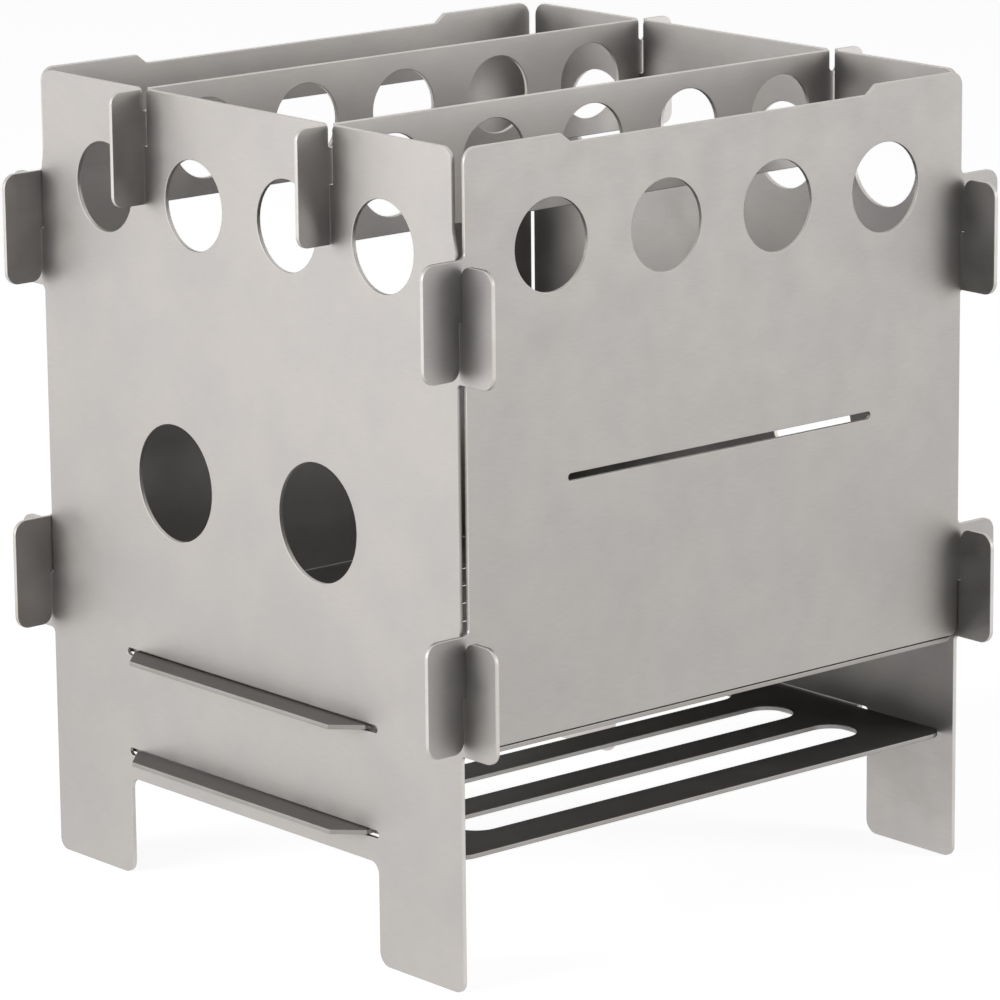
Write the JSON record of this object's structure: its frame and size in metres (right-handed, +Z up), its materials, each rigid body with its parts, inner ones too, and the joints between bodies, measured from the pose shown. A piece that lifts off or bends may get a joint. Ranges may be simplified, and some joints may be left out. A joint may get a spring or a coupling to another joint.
{
  "type": "folding camping wood stove",
  "caption": "Flat-pack camping wood stove of interlocking steel sheets: four walls hooked at the corners, two slotted grates below, a feed opening in one side and two crossbars on top that carry a pot.",
  "frame": {"origin": "on the ground, under the middle of the stove", "axes": "+Z up, -Y out of the front wall, +X out of the right wall"},
  "size_m": [0.159, 0.159, 0.173],
  "materials": {
    "wall_steel": "satin stainless sheet with a fine rolled grain",
    "crossbar_steel": "satin stainless sheet with a fine rolled grain",
    "grate_steel": "satin stainless sheet, a little darker"
  },
  "bodies": {
    "stove_frame": {"front_wall": "wall_steel", "rear_wall": "wall_steel", "fire_grate": "grate_steel", "ash_grate": "grate_steel"},
    "right_wall": {"right_wall": "wall_steel"},
    "left_wall": {"left_wall": "wall_steel"},
    "right_crossbar": {"right_crossbar": "crossbar_steel"},
    "left_crossbar": {"left_crossbar": "crossbar_steel"}
  },
  "joints": [
    {"name": "right_wall_lift", "type": "slide", "parent": "stove_frame", "child": "right_wall", "axis": [0, 0, 1], "range_m": [0, 0.05]},
    {"name": "left_wall_lift", "type": "slide", "parent": "stove_frame", "child": "left_wall", "axis": [0, 0, 1], "range_m": [0, 0.05]},
    {"name": "right_crossbar_lift", "type": "slide", "parent": "stove_frame", "child": "right_crossbar", "axis": [0, 0, 1], "range_m": [0, 0.03]},
    {"name": "left_crossbar_lift", "type": "slide", "parent": "stove_frame", "child": "left_crossbar", "axis": [0, 0, 1], "range_m": [0, 0.03]}
  ]
}
